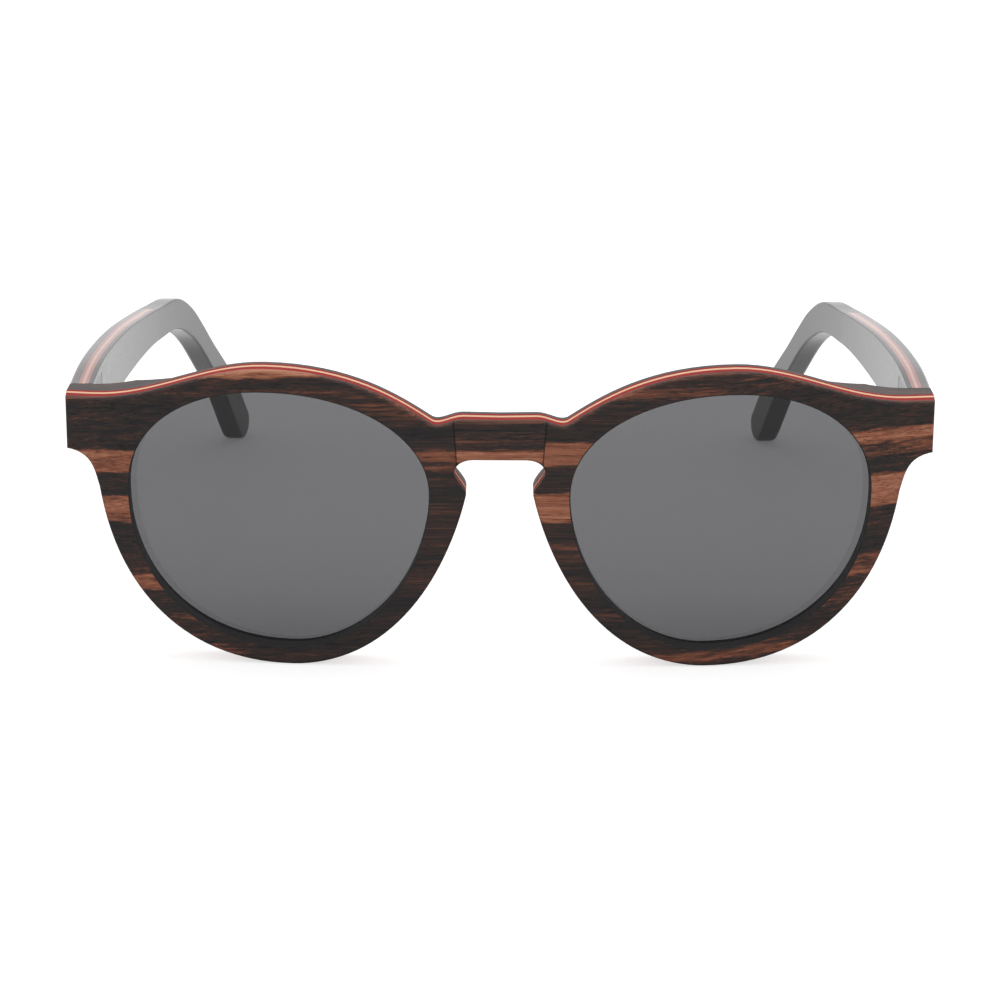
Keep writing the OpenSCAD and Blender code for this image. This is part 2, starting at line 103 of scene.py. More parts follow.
camera_data = bpy.data.cameras.new("camera")
camera_data.sensor_width = 36
camera_data.lens = camera_data.sensor_width * FOCAL_PIXELS / FRAME_PIXELS
camera_data.shift_x = 0.5 - CENTRE_PIXEL[0] / FRAME_PIXELS
camera_data.shift_y = CENTRE_PIXEL[1] / FRAME_PIXELS - 0.5
camera_data.clip_start = 0.01
camera_data.clip_end = 50
camera = bpy.data.objects.new("camera", camera_data)
camera.location = (0, FACE_Y - EYE_AWAY, EYE_HEIGHT)
aim = Euler((math.pi / 2 - PITCH_DOWN, 0, 0)).to_matrix()
camera.rotation_euler = (aim @ Matrix.Rotation(ROLL, 3, "Z")).to_euler()
bpy.context.scene.collection.objects.link(camera)
bpy.context.scene.camera = camera


# Shader helpers


def linear(red, green, blue):
    """Scene colour of an sRGB colour given from 0 to 255."""

    def channel(value):
        share = value / 255
        if share <= 0.04045:
            return share / 12.92
        return ((share + 0.055) / 1.055) ** 2.4

    return (channel(red), channel(green), channel(blue), 1)


def new_material(name):
    material = bpy.data.materials.new(name)
    material.use_nodes = True
    material.node_tree.nodes.clear()
    return material


def add(tree, kind, inputs=None, **settings):
    """A new node with its settings, and a value or a link for each input named."""
    node = tree.nodes.new(kind)
    for key, value in settings.items():
        setattr(node, key, value)
    for key, value in (inputs or {}).items():
        if isinstance(value, bpy.types.NodeSocket):
            tree.links.new(value, node.inputs[key])
        else:
            node.inputs[key].default_value = value
    return node


def math_node(tree, operation, first, second=0.0, third=0.0, clamp=False):
    inputs = {0: first, 1: second, 2: third}
    node = add(tree, "ShaderNodeMath", inputs, operation=operation, use_clamp=clamp)
    return node.outputs[0]


def noise(tree, vector, scale, detail=2.0, roughness=0.5):
    """Noise from 0 to 1, with its own scale along X, Y and Z."""
    mapped = add(tree, "ShaderNodeMapping", {"Vector": vector, "Scale": scale})
    node = add(
        tree,
        "ShaderNodeTexNoise",
        {"Vector": mapped.outputs[0], "Scale": 1.0, "Detail": detail, "Roughness": roughness},
    )
    return node.outputs["Fac"]


def swayed(tree, middle, value, weight):
    """A number that a noise value moves up and down by half of the weight."""
    low = math_node(tree, "SUBTRACT", middle, weight / 2)
    return math_node(tree, "MULTIPLY_ADD", value, weight, low)


def map_range(tree, value, low, high, to_low=0.0, to_high=1.0, smooth=False):
    node = add(
        tree,
        "ShaderNodeMapRange",
        {0: value, 1: low, 2: high, 3: to_low, 4: to_high},
        interpolation_type="SMOOTHSTEP" if smooth else "LINEAR",
    )
    return node.outputs[0]


def ramp(tree, value, stops):
    node = add(tree, "ShaderNodeValToRGB", {0: value})
    elements = node.color_ramp.elements
    while len(elements) < len(stops):
        elements.new(0.5)
    for element, (position, colour) in zip(elements, stops):
        element.position = position
        element.color = colour
    return node.outputs[0]


def mix_colour(tree, share, first, second):
    node = add(tree, "ShaderNodeMix", {0: share, 6: first, 7: second}, data_type="RGBA")
    return node.outputs[2]


def millimetres(tree):
    """Rest position in millimetres."""
    place = add(tree, "ShaderNodeTexCoord")
    inputs = {0: place.outputs["Object"], 3: 1 / MM}
    scaled = add(tree, "ShaderNodeVectorMath", inputs, operation="SCALE")
    return scaled.outputs[0]


def finish_material(tree, shader):
    out = add(tree, "ShaderNodeOutputMaterial")
    tree.links.new(shader, out.inputs["Surface"])


# Wood


# Noise scales along and across the grain, for millimetres
WAVER = (0.025, 0.05)
COARSE = (0.012, 0.3)
FINE = (0.04, 2.2)
FIBRE = (0.3, 6.0)
PORES = (0.5, 5.0)
VENEER_FINE = (0.06, 2.2)
VENEER_FIBRE = (0.4, 8.0)

# How far the noises sway the tone of the ebony and the roughness of all the wood
COARSE_SWAY = 0.6
FINE_SWAY = 0.9
FIBRE_SWAY = 0.4
ROUGH_SWAY = 0.16


def along(axis, with_grain, across):
    """Scale per axis: with_grain along the grain, across it elsewhere."""
    return tuple(with_grain if i == axis else across for i in range(3))


def grain_place(tree, axis, height, rise=0.0, knee=0.0):
    """Rest position whose height wavers slowly along the grain. Beyond the knee, the grain also
    rises by a share of the distance from the middle."""
    place = millimetres(tree)
    slow = noise(tree, place, along(axis, *WAVER), detail=1)
    lift = swayed(tree, 0.0, slow, height)
    if rise:
        split = add(tree, "ShaderNodeSeparateXYZ", {0: place})
        out = math_node(tree, "SUBTRACT", math_node(tree, "ABSOLUTE", split.outputs[0]), knee)
        out = math_node(tree, "MAXIMUM", out, 0.0)
        lift = math_node(tree, "MULTIPLY_ADD", out, -rise, lift)
    up = add(tree, "ShaderNodeCombineXYZ", {2: lift})
    moved = add(tree, "ShaderNodeVectorMath", {0: place, 1: up.outputs[0]}, operation="ADD")
    return moved.outputs[0]


# Brown bands: softness of their ends and edges, and how ragged these are, in millimetres
BAND_END = 5.0
BAND_EDGE = 0.4
RAGGED = (0.22, 0.1, 1.6)
RAGGED_END = 12.0
RAGGED_EDGE = 1.5


def band_mask(tree, place, bands):
    """Highest of the brown bands at a place: x from and to, z from and to, strength."""
    split = add(tree, "ShaderNodeSeparateXYZ", {0: place})
    ragged = noise(tree, place, RAGGED, detail=3)
    x = swayed(tree, split.outputs[0], ragged, RAGGED_END)
    z = swayed(tree, split.outputs[2], ragged, RAGGED_EDGE)
    total = None
    for x0, x1, z0, z1, strength in bands:
        begins = map_range(tree, x, x0 - BAND_END, x0 + BAND_END, smooth=True)
        ends = map_range(tree, x, x1 - BAND_END, x1 + BAND_END, 1.0, 0.0, smooth=True)
        above = map_range(tree, z, z0 - BAND_EDGE, z0 + BAND_EDGE, smooth=True)
        below = map_range(tree, z, z1 - BAND_EDGE, z1 + BAND_EDGE, strength, 0.0, smooth=True)
        wide = math_node(tree, "MULTIPLY", begins, ends)
        high = math_node(tree, "MULTIPLY", above, below)
        value = math_node(tree, "MULTIPLY", wide, high)
        total = value if total is None else math_node(tree, "MAXIMUM", total, value)
    return total


def seam_mask(tree):
    """One along the fine dark line of the two butt seams of the face."""
    split = add(tree, "ShaderNodeSeparateXYZ", {0: millimetres(tree)})
    slope = (SEAM_TOP[0] - SEAM_LOW[0]) / (SEAM_TOP[1] - SEAM_LOW[1])
    start = SEAM_LOW[0] - slope * SEAM_LOW[1]
    half = math_node(tree, "MULTIPLY_ADD", split.outputs[2], slope, start)
    off = math_node(tree, "SUBTRACT", math_node(tree, "ABSOLUTE", split.outputs[0]), half)
    off = math_node(tree, "ABSOLUTE", off)
    near = map_range(tree, off, SEAM_LINE / 2, SEAM_LINE, SEAM_SHADE, 0.0)
    above = map_range(tree, split.outputs[2], SEAM_LOW[1] - 1, SEAM_LOW[1])
    return math_node(tree, "MULTIPLY", near, above)


EBONY = (
    (0.08, linear(47, 46, 47)),
    (0.32, linear(60, 56, 56)),
    (0.48, linear(80, 62, 57)),
    (0.62, linear(128, 82, 66)),
    (0.78, linear(164, 104, 81)),
    (0.98, linear(198, 138, 110)),
)
MIDDLE_TONE = 0.34
WAVER_HEIGHT = 1.2
COAT_ROUGH = 0.12

# Dark pores and pale flecks: colour, the noise levels between which they appear, and share
PORE = linear(26, 24, 24)
PORE_LEVELS = (0.63, 0.71)
PORE_SHARE = 0.5
FLECK = linear(182, 132, 106)
FLECK_LEVELS = (0.4, 0.3)

# Painted light from above: paler wood where the face looks up, as on its rounded top edge, by how
# much it looks up
TOP_LIGHT_TONE = 0.1
TOP_LIGHT_UP = (0.2, 0.8)

# Height of the fibres beside the depth of a pore, and that depth
FIBRE_HEIGHT = 0.5
PORE_DEPTH = 0.03 * MM


def ebony(
    name,
    axis,
    bands=(),
    tone_shift=0.0,
    rough=0.42,
    shine=0.25,
    coat=0.0,
    rise=0.0,
    knee=0.0,
    seamed_and_top_lit=False,
    relief=0.3,
):
    material = new_material(name)
    tree = material.node_tree
    grain = grain_place(tree, axis, WAVER_HEIGHT, rise, knee)
    coarse = noise(tree, grain, along(axis, *COARSE), detail=3)
    fine = noise(tree, grain, along(axis, *FINE), detail=5, roughness=0.65)
    fibre = noise(tree, grain, along(axis, *FIBRE), detail=2)
    pores = noise(tree, grain, along(axis, *PORES), detail=1)
    pore_mask = map_range(tree, pores, *PORE_LEVELS, smooth=True)
    tone = swayed(tree, MIDDLE_TONE + tone_shift, coarse, COARSE_SWAY)
    tone = swayed(tree, tone, fine, FINE_SWAY)
    tone = swayed(tree, tone, fibre, FIBRE_SWAY)
    if seamed_and_top_lit:
        # Painted light from above: the wood is paler where the face looks up
        normal = add(tree, "ShaderNodeNewGeometry").outputs["Normal"]
        facing = add(tree, "ShaderNodeSeparateXYZ", {0: normal})
        painted_top_light = map_range(tree, facing.outputs[2], *TOP_LIGHT_UP, 0.0, TOP_LIGHT_TONE, smooth=True)
        tone = math_node(tree, "ADD", tone, painted_top_light)
    if bands:
        brown = band_mask(tree, grain, bands)
        tone = math_node(tree, "ADD", tone, brown)
        flecks = map_range(tree, pores, *FLECK_LEVELS, smooth=True)
        fleck_share = math_node(tree, "MULTIPLY", flecks, brown, clamp=True)
        colour = mix_colour(tree, fleck_share, ramp(tree, tone, EBONY), FLECK)
    else:
        colour = ramp(tree, tone, EBONY)
    pore_share = math_node(tree, "MULTIPLY", pore_mask, PORE_SHARE)
    colour = mix_colour(tree, pore_share, colour, PORE)
    if seamed_and_top_lit:
        colour = mix_colour(tree, seam_mask(tree), colour, PORE)
    height = math_node(tree, "SUBTRACT", math_node(tree, "MULTIPLY", fibre, FIBRE_HEIGHT), pore_mask)
    bump = add(tree, "ShaderNodeBump", {"Height": height, "Strength": relief, "Distance": PORE_DEPTH})
    shader = add(
        tree,
        "ShaderNodeBsdfPrincipled",
        {
            "Base Color": colour,
            "Roughness": swayed(tree, rough, fibre, ROUGH_SWAY),
            "Normal": bump.outputs[0],
            "Specular IOR Level": shine,
            "Coat Weight": coat,
            "Coat Roughness": COAT_ROUGH,
        },
    )
    finish_material(tree, shader.outputs[0])
    return material


# Dyed veneers: slow waver, share of the fine noise in the tone, tones of the two colours, fibres
VENEER_WAVER = 0.6
VENEER_FINE_SHARE = 0.6
VENEER_TONES = (0.3, 0.62)
VENEER_RELIEF = 0.25
VENEER_DEPTH = 0.02 * MM


def dyed_veneer(name, axis, colour, dark, rough, shine, coat=0.0):
    material = new_material(name)
    tree = material.node_tree
    grain = grain_place(tree, axis, VENEER_WAVER)
    fine = noise(tree, grain, along(axis, *VENEER_FINE), detail=4, roughness=0.6)
    fibre = noise(tree, grain, along(axis, *VENEER_FIBRE), detail=2)
    fibre_part = math_node(tree, "MULTIPLY", fibre, 1 - VENEER_FINE_SHARE)
    tone = math_node(tree, "MULTIPLY_ADD", fine, VENEER_FINE_SHARE, fibre_part)
    tinted = ramp(tree, tone, tuple(zip(VENEER_TONES, (dark, colour))))
    relief = {"Height": fibre, "Strength": VENEER_RELIEF, "Distance": VENEER_DEPTH}
    bump = add(tree, "ShaderNodeBump", relief)
    shader = add(
        tree,
        "ShaderNodeBsdfPrincipled",
        {
            "Base Color": tinted,
            "Roughness": swayed(tree, rough, fibre, ROUGH_SWAY),
            "Normal": bump.outputs[0],
            "Specular IOR Level": shine,
            "Coat Weight": coat,
            "Coat Roughness": COAT_ROUGH,
        },
    )
    finish_material(tree, shader.outputs[0])
    return material


# Brown bands of the face in millimetres: x from and to, z from and to, strength
BANDS_RIGHT = (
    (-80, -28, 51.0, 52.8, 0.4),
    (-60, -20, 47.6, 49.2, 0.06),
    (-80, -50, 43.8, 45.4, 0.07),
    (-80, -55, 39.6, 41.2, 0.08),
    (-80, -52, 34.4, 38.5, 0.45),
    (-52, -4, 34.6, 38.4, 0.24),
    (-80, -50, 25.7, 30.4, 0.42),
    (-80, -46, 13.8, 16.5, 0.31),
    (-80, -30, 8.0, 9.6, 0.14),
    (-54, -44, 2.4, 4.4, 0.3),
)
BANDS_LEFT = (
    (0, 60, 46.8, 48.8, 0.12),
    (0, 40, 35.6, 39.6, 0.39),
    (40, 80, 36.0, 38.2, 0.42),
    (40, 80, 33.6, 35.6, 0.24),
    (0, 35, 26.2, 31.0, 0.4),
    (35, 80, 24.8, 30.5, 0.5),
    (40, 80, 13.2, 16.6, 0.21),
    (0, 60, 8.6, 11.0, 0.1),
    (20, 60, 1.0, 2.6, 0.16),
)
BANDS_BRIDGE = (
    (-12, 12, 39.0, 41.6, 0.1),
    (-12, 12, 36.0, 38.2, 0.42),
)

RED = linear(172, 44, 40)
RED_DARK = linear(140, 30, 30)
CREAM = linear(250, 208, 172)
CREAM_DARK = linear(232, 182, 146)
# The temples' red and cream are the front's dyed veneers with painted sheen: the pale pink that their
# polished top edges reflect is mixed into both colours
RED_WITH_TEMPLE_SHEEN = linear(172, 96, 90)
RED_DARK_WITH_TEMPLE_SHEEN = linear(146, 74, 70)
CREAM_WITH_TEMPLE_SHEEN = linear(198, 156, 140)
CREAM_DARK_WITH_TEMPLE_SHEEN = linear(180, 142, 122)

# Finish of the matt front and of the polished temples
FACE_ROUGH = 0.55
EDGE_ROUGH = 0.65
FRONT_SHINE = 0.1
TEMPLE_ROUGH = 0.2
TEMPLE_SHINE = 0.5
TEMPLE_COAT = 0.18


def face_wood(part, bands, tone_shift=0.0, rise=0.0, knee=0.0):
    return ebony(
        f"ebony_face_{part}",
        X_AXIS,
        bands,
        tone_shift,
        FACE_ROUGH,
        FRONT_SHINE,
        rise=rise,
        knee=knee,
        seamed_and_top_lit=True,
    )


face_right = face_wood("right", BANDS_RIGHT, rise=-0.03, knee=10)
face_left = face_wood("left", BANDS_LEFT, 0.04, rise=0.1, knee=35)
face_bridge = face_wood("bridge", BANDS_BRIDGE, 0.03)
back_wood = ebony("ebony_back", X_AXIS, tone_shift=0.04, rough=0.5, shine=0.2)
temple_wood = ebony(
    "ebony_temple",
    Y_AXIS,
    tone_shift=0.04,
    rough=TEMPLE_ROUGH,
    shine=TEMPLE_SHINE,
    coat=TEMPLE_COAT,
    relief=0.12,
)
temple_inner_wood = ebony(
    "ebony_temple_inner", Y_AXIS, tone_shift=-0.08, rough=0.18, shine=TEMPLE_SHINE, relief=0.05
)
# Darker ebony for the walls of the lens openings, over the red and cream plies too
opening_wall_wood = ebony("ebony_opening_walls", X_AXIS, tone_shift=-0.25)


def front_veneer(name, colour, dark):
    return dyed_veneer(name, X_AXIS, colour, dark, EDGE_ROUGH, FRONT_SHINE)


def temple_veneer(name, colour, dark):
    return dyed_veneer(name, Y_AXIS, colour, dark, TEMPLE_ROUGH, TEMPLE_SHINE, TEMPLE_COAT)


red_front = front_veneer("red_veneer_front", RED, RED_DARK)
cream_front = front_veneer("cream_veneer_front", CREAM, CREAM_DARK)
red_temple = temple_veneer("red_veneer_temple", RED_WITH_TEMPLE_SHEEN, RED_DARK_WITH_TEMPLE_SHEEN)
cream_temple = temple_veneer("cream_veneer_temple", CREAM_WITH_TEMPLE_SHEEN, CREAM_DARK_WITH_TEMPLE_SHEEN)


# Acetate of the tips: scales and depth of its clouds and ripples
CLOUD = (0.15, 0.05, 0.15)
CLOUD_SWAY = 0.15
RIPPLE = (0.3, 0.12, 0.3)
RIPPLE_DEPTH = 0.05 * MM


def grey(level):
    return (level, level, level, 1)


def acetate(name, level, rough):
    material = new_material(name)
    tree = material.node_tree
    cloud = noise(tree, millimetres(tree), CLOUD, detail=3)
    dark = grey(level * (1 - CLOUD_SWAY))
    pale = grey(level * (1 + CLOUD_SWAY))
    tone = ramp(tree, cloud, ((0.35, dark), (0.65, pale)))
    ripple = noise(tree, millimetres(tree), RIPPLE, detail=2)
    bump = add(tree, "ShaderNodeBump", {"Height": ripple, "Strength": 0.1, "Distance": RIPPLE_DEPTH})
    shader = add(
        tree,
        "ShaderNodeBsdfPrincipled",
        {
            "Base Color": tone,
            "Roughness": rough,
            "Normal": bump.outputs[0],
            "Specular IOR Level": TEMPLE_SHINE,
        },
    )
    finish_material(tree, shader.outputs[0])
    return material


tip_acetate = acetate("tip_acetate", 0.022, TEMPLE_ROUGH)


# Lens and metal

# Share of the light that passes one of the two surfaces of a lens, and its change with height: darker
# towards the bottom, a painted shadow that the front casts on the floor behind the lens, and a little
# paler at the top
LENS_PASS = 0.374
LENS_PAINTED_SHADOW = ((4, 0.885), (8, 0.925), (12, 0.962), (17, 0.985), (24, 1.0), (36, 1.0), (42, 1.025))
LENS_BLUE = 1.02

# Share that it mirrors when looked at squarely, and how fast that grows with the slant
LENS_MIRROR = 0.04
SLANT_POWER = 5.0


def lens_material():
    material = new_material("tinted_lens")
    tree = material.node_tree
    split = add(tree, "ShaderNodeSeparateXYZ", {0: millimetres(tree)})
    # Painted shadow: the tint darkens towards the bottom of the lens
    stops = []
    for height, share in LENS_PAINTED_SHADOW:
        level = LENS_PASS * share
        stops.append((height / LENS_TOP, (level, level, level * LENS_BLUE, 1)))
    tone = ramp(tree, math_node(tree, "DIVIDE", split.outputs[2], LENS_TOP), stops)
    tint = add(tree, "ShaderNodeBsdfTransparent", {"Color": tone})
    gloss = add(tree, "ShaderNodeBsdfGlossy", {"Color": (1, 1, 1, 1), "Roughness": 0.02})
    slant = add(tree, "ShaderNodeLayerWeight", {"Blend": 0.5}).outputs["Facing"]
    steep = math_node(tree, "POWER", slant, SLANT_POWER)
    mirrored = math_node(tree, "MULTIPLY_ADD", steep, 1 - LENS_MIRROR, LENS_MIRROR)
    shader = add(
        tree,
        "ShaderNodeMixShader",
        {0: mirrored, 1: tint.outputs[0], 2: gloss.outputs[0]},
    )
    finish_material(tree, shader.outputs[0])
    return material


# Brushed steel: scale and depth of the brushing, and what it does to tone and roughness
BRUSHED = (14, 14, 1.5)
BRUSHED_DEPTH = 0.01 * MM
BRUSHED_DARK = 0.8
BRUSHED_ROUGH = 0.15
STEEL_BLUE = 1.02


def steel(name, level, rough):
    material = new_material(name)
    tree = material.node_tree
    brushed = noise(tree, millimetres(tree), BRUSHED, detail=3)
    pale = (level, level, level * STEEL_BLUE, 1)
    tone = ramp(tree, brushed, ((0.3, grey(level * BRUSHED_DARK)), (0.7, pale)))
    roughness = math_node(tree, "MULTIPLY_ADD", brushed, BRUSHED_ROUGH, rough)
    relief = {"Height": brushed, "Strength": 0.15, "Distance": BRUSHED_DEPTH}
    bump = add(tree, "ShaderNodeBump", relief)
    shader = add(
        tree,
        "ShaderNodeBsdfPrincipled",
        {"Base Color": tone, "Metallic": 1.0, "Roughness": roughness, "Normal": bump.outputs[0]},
    )
    finish_material(tree, shader.outputs[0])
    return material


lens_tint = lens_material()
hinge_steel = steel("hinge_steel", 0.32, 0.35)
screw_steel = steel("screw_steel", 0.5, 0.2)


# Shapes

WELD = 0.001 * MM
HELD_REACH = 10 * WELD
LONGEST_STEP = 1.5 * MM
SLICE = 4 * MM
ROUND_STEPS = 4
SHARP_ANGLE = math.radians(35)
SHARPEST_CORNER = 0.5

# The most that a wall's normal points along the axis of its ply, and the least that a cap's does
WALL_TILT = 0.3
CAP_TILT = 0.7


def welded(node):
    """Editable copy of a CAD node's mesh, with its doubled points joined."""
    mesh = bmesh.new()
    mesh.from_mesh(nodes[node].data)
    bmesh.ops.remove_doubles(mesh, verts=mesh.verts, dist=WELD)
    return mesh


def area(plan):
    return sum(a.x * b.y - b.x * a.y for a, b in zip(plan, plan[1:] + plan[:1])) / 2


def outline_of(node, axis, sign):
    """Plan loops round the side of a CAD node that faces along an axis: the outside first."""
    mesh = welded(node)
    beside = {}
    for edge in mesh.edges:
        if len(edge.link_faces) != 2:
            continue
        wall, cap = sorted(sign * face.normal[axis] for face in edge.link_faces)
        if abs(wall) < WALL_TILT and cap > CAP_TILT:
            first, second = edge.verts
            beside.setdefault(first, []).append(second)
            beside.setdefault(second, []).append(first)
    flat = [i for i in range(3) if i != axis]
    loops = []
    waiting = set(beside)
    while waiting:
        point = min(waiting, key=lambda vertex: tuple(vertex.co))
        plan = []
        while point in waiting:
            waiting.discard(point)
            plan.append(Vector((point.co[flat[0]], point.co[flat[1]])))
            point = next((other for other in beside[point] if other in waiting), None)
        loops.append(plan)
    mesh.free()
    loops.sort(key=lambda plan: -abs(area(plan)))
    for i, plan in enumerate(loops):
        if (area(plan) > 0) != (i == 0):
            plan.reverse()
    return loops


def short_steps(plan):
    """The same loop with its long sides divided."""
    points = []
    for here, there in zip(plan, plan[1:] + plan[:1]):
        count = max(1, math.ceil((there - here).length / LONGEST_STEP))
        points += [here.lerp(there, i / count) for i in range(count)]
    return points


def inward(plan, held):
    """At each point of a loop, the way into the material, stretched at corners. At the places
    named in held, the way is only up or down."""
    ways = []
    for i, here in enumerate(plan):
        before = (here - plan[i - 1]).normalized()
        after = (plan[(i + 1) % len(plan)] - here).normalized()
        left = Vector((-before.y - after.y, before.x + after.x)).normalized()
        straight = Vector((-after.y, after.x))
        way = left / max(SHARPEST_CORNER, left.dot(straight))
        if any(abs(here.x - place) < HELD_REACH for place in held):
            way.x = 0
        ways.append(way)
    return ways


def edge_rows(rounds):
    """Rows of points across an edge with a rounding in front and behind: inset, side and drop."""
    rows = []
    for side, radius in enumerate(rounds):
        steps = ROUND_STEPS if radius else 0
        turns = [math.pi / 2 * i / ROUND_STEPS for i in range(steps + 1)]
        if side:
            turns.reverse()
        for turn in turns:
            inset = radius * (1 - math.sin(turn))
            drop = radius * (1 - math.cos(turn))
            rows.append((inset, side, -drop if side else drop))
    return rows


def ply(loops, place, depths, rounds, held=(), growth=None):
    """Mesh of a ply between two depths, made flat, cut into slices and bent. Each loop has a
    rounding in front and behind, which growth can scale from point to point. The walls of the
    openings get the second material."""
    mesh = bmesh.new()
    caps = ([], [])
    for number, (plan, rounding) in enumerate(zip(loops, rounds)):
        plan = short_steps(plan)
        ways = inward(plan, held)
        sizes = [growth(point) if growth else 1 for point in plan]
        rings = []
        for inset, side, drop in edge_rows(rounding):
            ring = []
            for point, way, size in zip(plan, ways, sizes):
                spot = point + way * inset * size
                ring.append(mesh.verts.new((spot.x, spot.y, depths[side] + drop * size)))
            rings.append(ring)
        for upper, lower in zip(rings, rings[1:]):
            for i in range(len(plan)):
                face = mesh.faces.new((upper[i - 1], upper[i], lower[i], lower[i - 1]))
                face.material_index = 1 if number else 0
        for ring, edges in zip((rings[0], rings[-1]), caps):
            edges += [mesh.edges.get((ring[i - 1], ring[i])) for i in range(len(ring))]
    for edges in caps:
        bmesh.ops.triangle_fill(mesh, use_beauty=True, edges=edges)
    first = min(vertex.co.x for vertex in mesh.verts)
    last = max(vertex.co.x for vertex in mesh.verts)
    for i in range(1, math.ceil((last - first) / SLICE)):
        bmesh.ops.bisect_plane(
            mesh,
            geom=mesh.verts[:] + mesh.edges[:] + mesh.faces[:],
            dist=WELD,
            plane_co=(first + i * SLICE, 0, 0),
            plane_no=(1, 0, 0),
        )
    for vertex in mesh.verts:
        vertex.co = place(vertex.co.xy, vertex.co.z)
    bmesh.ops.recalc_face_normals(mesh, faces=mesh.faces)
    return mesh


def show(mesh, name, body, node, materials):
    """Turns a mesh into the shown piece of a CAD node."""
    data = bpy.data.meshes.new(name)
    mesh.to_mesh(data)
    mesh.free()
    for material in materials:
        data.materials.append(material)
    data.shade_smooth()
    data.set_sharp_from_angle(angle=SHARP_ANGLE)
    piece = bpy.data.objects.new(name, data)
    bpy.context.scene.collection.objects.link(piece)
    piece.modifiers.new("weights", "WEIGHTED_NORMAL").keep_sharp = True
    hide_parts(node)
    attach(piece, body)


# Front


def on_front(point, depth):
    reach = FRONT_R - depth
    return Vector((point.x, FACE_Y + FRONT_R - math.sqrt(reach * reach - point.x * point.x), point.y))


FACE_ROUND = 0.65 * MM
OPENING_ROUND = 0.2 * MM
front_loops = outline_of("front_red_veneer", Y_AXIS, -1)
whole_face = ply(
    front_loops,
    on_front,
    (0, FACE_DEPTH),
    ((FACE_ROUND, 0), (OPENING_ROUND, 0), (OPENING_ROUND, 0)),
)

seam_rise = Vector((SEAM_TOP[0] - SEAM_LOW[0], SEAM_TOP[1] - SEAM_LOW[1])).normalized()
for sign in (1, -1):
    bmesh.ops.bisect_plane(
        whole_face,
        geom=whole_face.verts[:] + whole_face.edges[:] + whole_face.faces[:],
        dist=WELD,
        plane_co=(sign * SEAM_LOW[0] * MM, 0, SEAM_LOW[1] * MM),
        plane_no=(sign * seam_rise.y, 0, -seam_rise.x),
    )


def face_part(face):
    """Name of the piece of the face veneer that a face belongs to."""
    middle = face.calc_center_median() / MM
    share = (middle.z - SEAM_LOW[1]) / (SEAM_TOP[1] - SEAM_LOW[1])
    half = SEAM_LOW[0] + (SEAM_TOP[0] - SEAM_LOW[0]) * share
    if share > 0 and abs(middle.x) < half:
        return "bridge"
    return "left" if middle.x > 0 else "right"


for part, wood in (("left", face_left), ("bridge", face_bridge), ("right", face_right)):
    mesh = whole_face.copy()
    others = [face for face in mesh.faces if face_part(face) != part]
    bmesh.ops.delete(mesh, geom=others, context="FACES")
    bmesh.ops.holes_fill(mesh, edges=[edge for edge in mesh.edges if edge.is_boundary])
    show(mesh, f"face_{part}", "front", f"face_veneer_{part}", (wood, opening_wall_wood))
whole_face.free()


def dress(node, material):
    """Gives a CAD node its material."""
    data = nodes[node].data
    data.materials.clear()
    data.materials.append(material)
    return data


def darken_opening_walls(data):
    """Darkens the walls of the lens openings of a CAD node."""
    data.materials.append(opening_wall_wood)
    for polygon in data.polygons:
        side = math.copysign(1, polygon.center.x)
        middle = Vector((side * LENS_CENTRE.x, polygon.center.y, LENS_CENTRE.z))
        if abs(polygon.normal.y) < WALL_TILT and polygon.normal.dot(middle - polygon.center) > 0:
            polygon.material_index = 1


for node, material, slot in (
    ("front_red_veneer", red_front, "red_veneer"),
    ("front_cream_veneer", cream_front, "cream_veneer"),
    ("front_rear_red_veneer", red_front, "red_veneer"),
):
    darken_opening_walls(dress(node, material))

BACK_ROUND = 0.55 * MM
BACK_SEGMENTS = 3
BACK_WALL_TILT = 0.35
REAR_TILT = 0.5
COPLANAR = math.radians(0.1)

# Room round the hinge leaf's pocket, whose edges stay sharp
POCKET_X = (61.5 * MM, 69 * MM)
POCKET_Z = (37.4 * MM, 45.1 * MM)


def in_pocket(vertex):
    beside = POCKET_X[0] < abs(vertex.co.x) < POCKET_X[1]
    return beside and POCKET_Z[0] < vertex.co.z < POCKET_Z[1]


def at_rear(edge):
    """Whether an edge lies between the rear of the front and one of its walls."""
    if len(edge.link_faces) != 2 or all(in_pocket(vertex) for vertex in edge.verts):
        return False
    wall, rear = sorted(face.normal.y for face in edge.link_faces)
    return abs(wall) < BACK_WALL_TILT and rear > REAR_TILT


back = welded("front_back")
bmesh.ops.dissolve_limit(back, angle_limit=COPLANAR, verts=back.verts, edges=back.edges)
bmesh.ops.bevel(
    back,
    geom=[edge for edge in back.edges if at_rear(edge)],
    offset=BACK_ROUND,
    offset_type="OFFSET",
    segments=BACK_SEGMENTS,
    profile=0.5,
    affect="EDGES",
    clamp_overlap=True,
)
show(back, "back", "front", "front_back", (back_wood,))


# Temples

TEMPLE_ROUND = 0.55 * MM
TIP_ROUND = 0.9 * MM
INNER_SHARE = 0.5
TIP_BLEND = 12 * MM
END_ROUND = 2.0 * MM
END_BLEND = 8 * MM
BAND_LOOKS = {
    "temple_red": (red_temple, "red_veneer"),
    "temple_cream": (cream_temple, "cream_veneer"),
    "temple_inner_red": (red_temple, "red_veneer"),
}


def eased(value):
    """Smooth step from 0 to 1."""
    share = min(1, max(0, value))
    return share * share * (3 - 2 * share)


def tip_rounding(point):
    """Rounding of the tip in millimetres, which grows from that of the laminate to a round end."""
    joint = eased((point.x - TEMPLE_JOINT_Y) / TIP_BLEND)
    end = eased((point.x - TIP_END_Y + END_BLEND) / END_BLEND)
    return (TEMPLE_ROUND + (TIP_ROUND - TEMPLE_ROUND) * joint + (END_ROUND - TIP_ROUND) * end) / MM


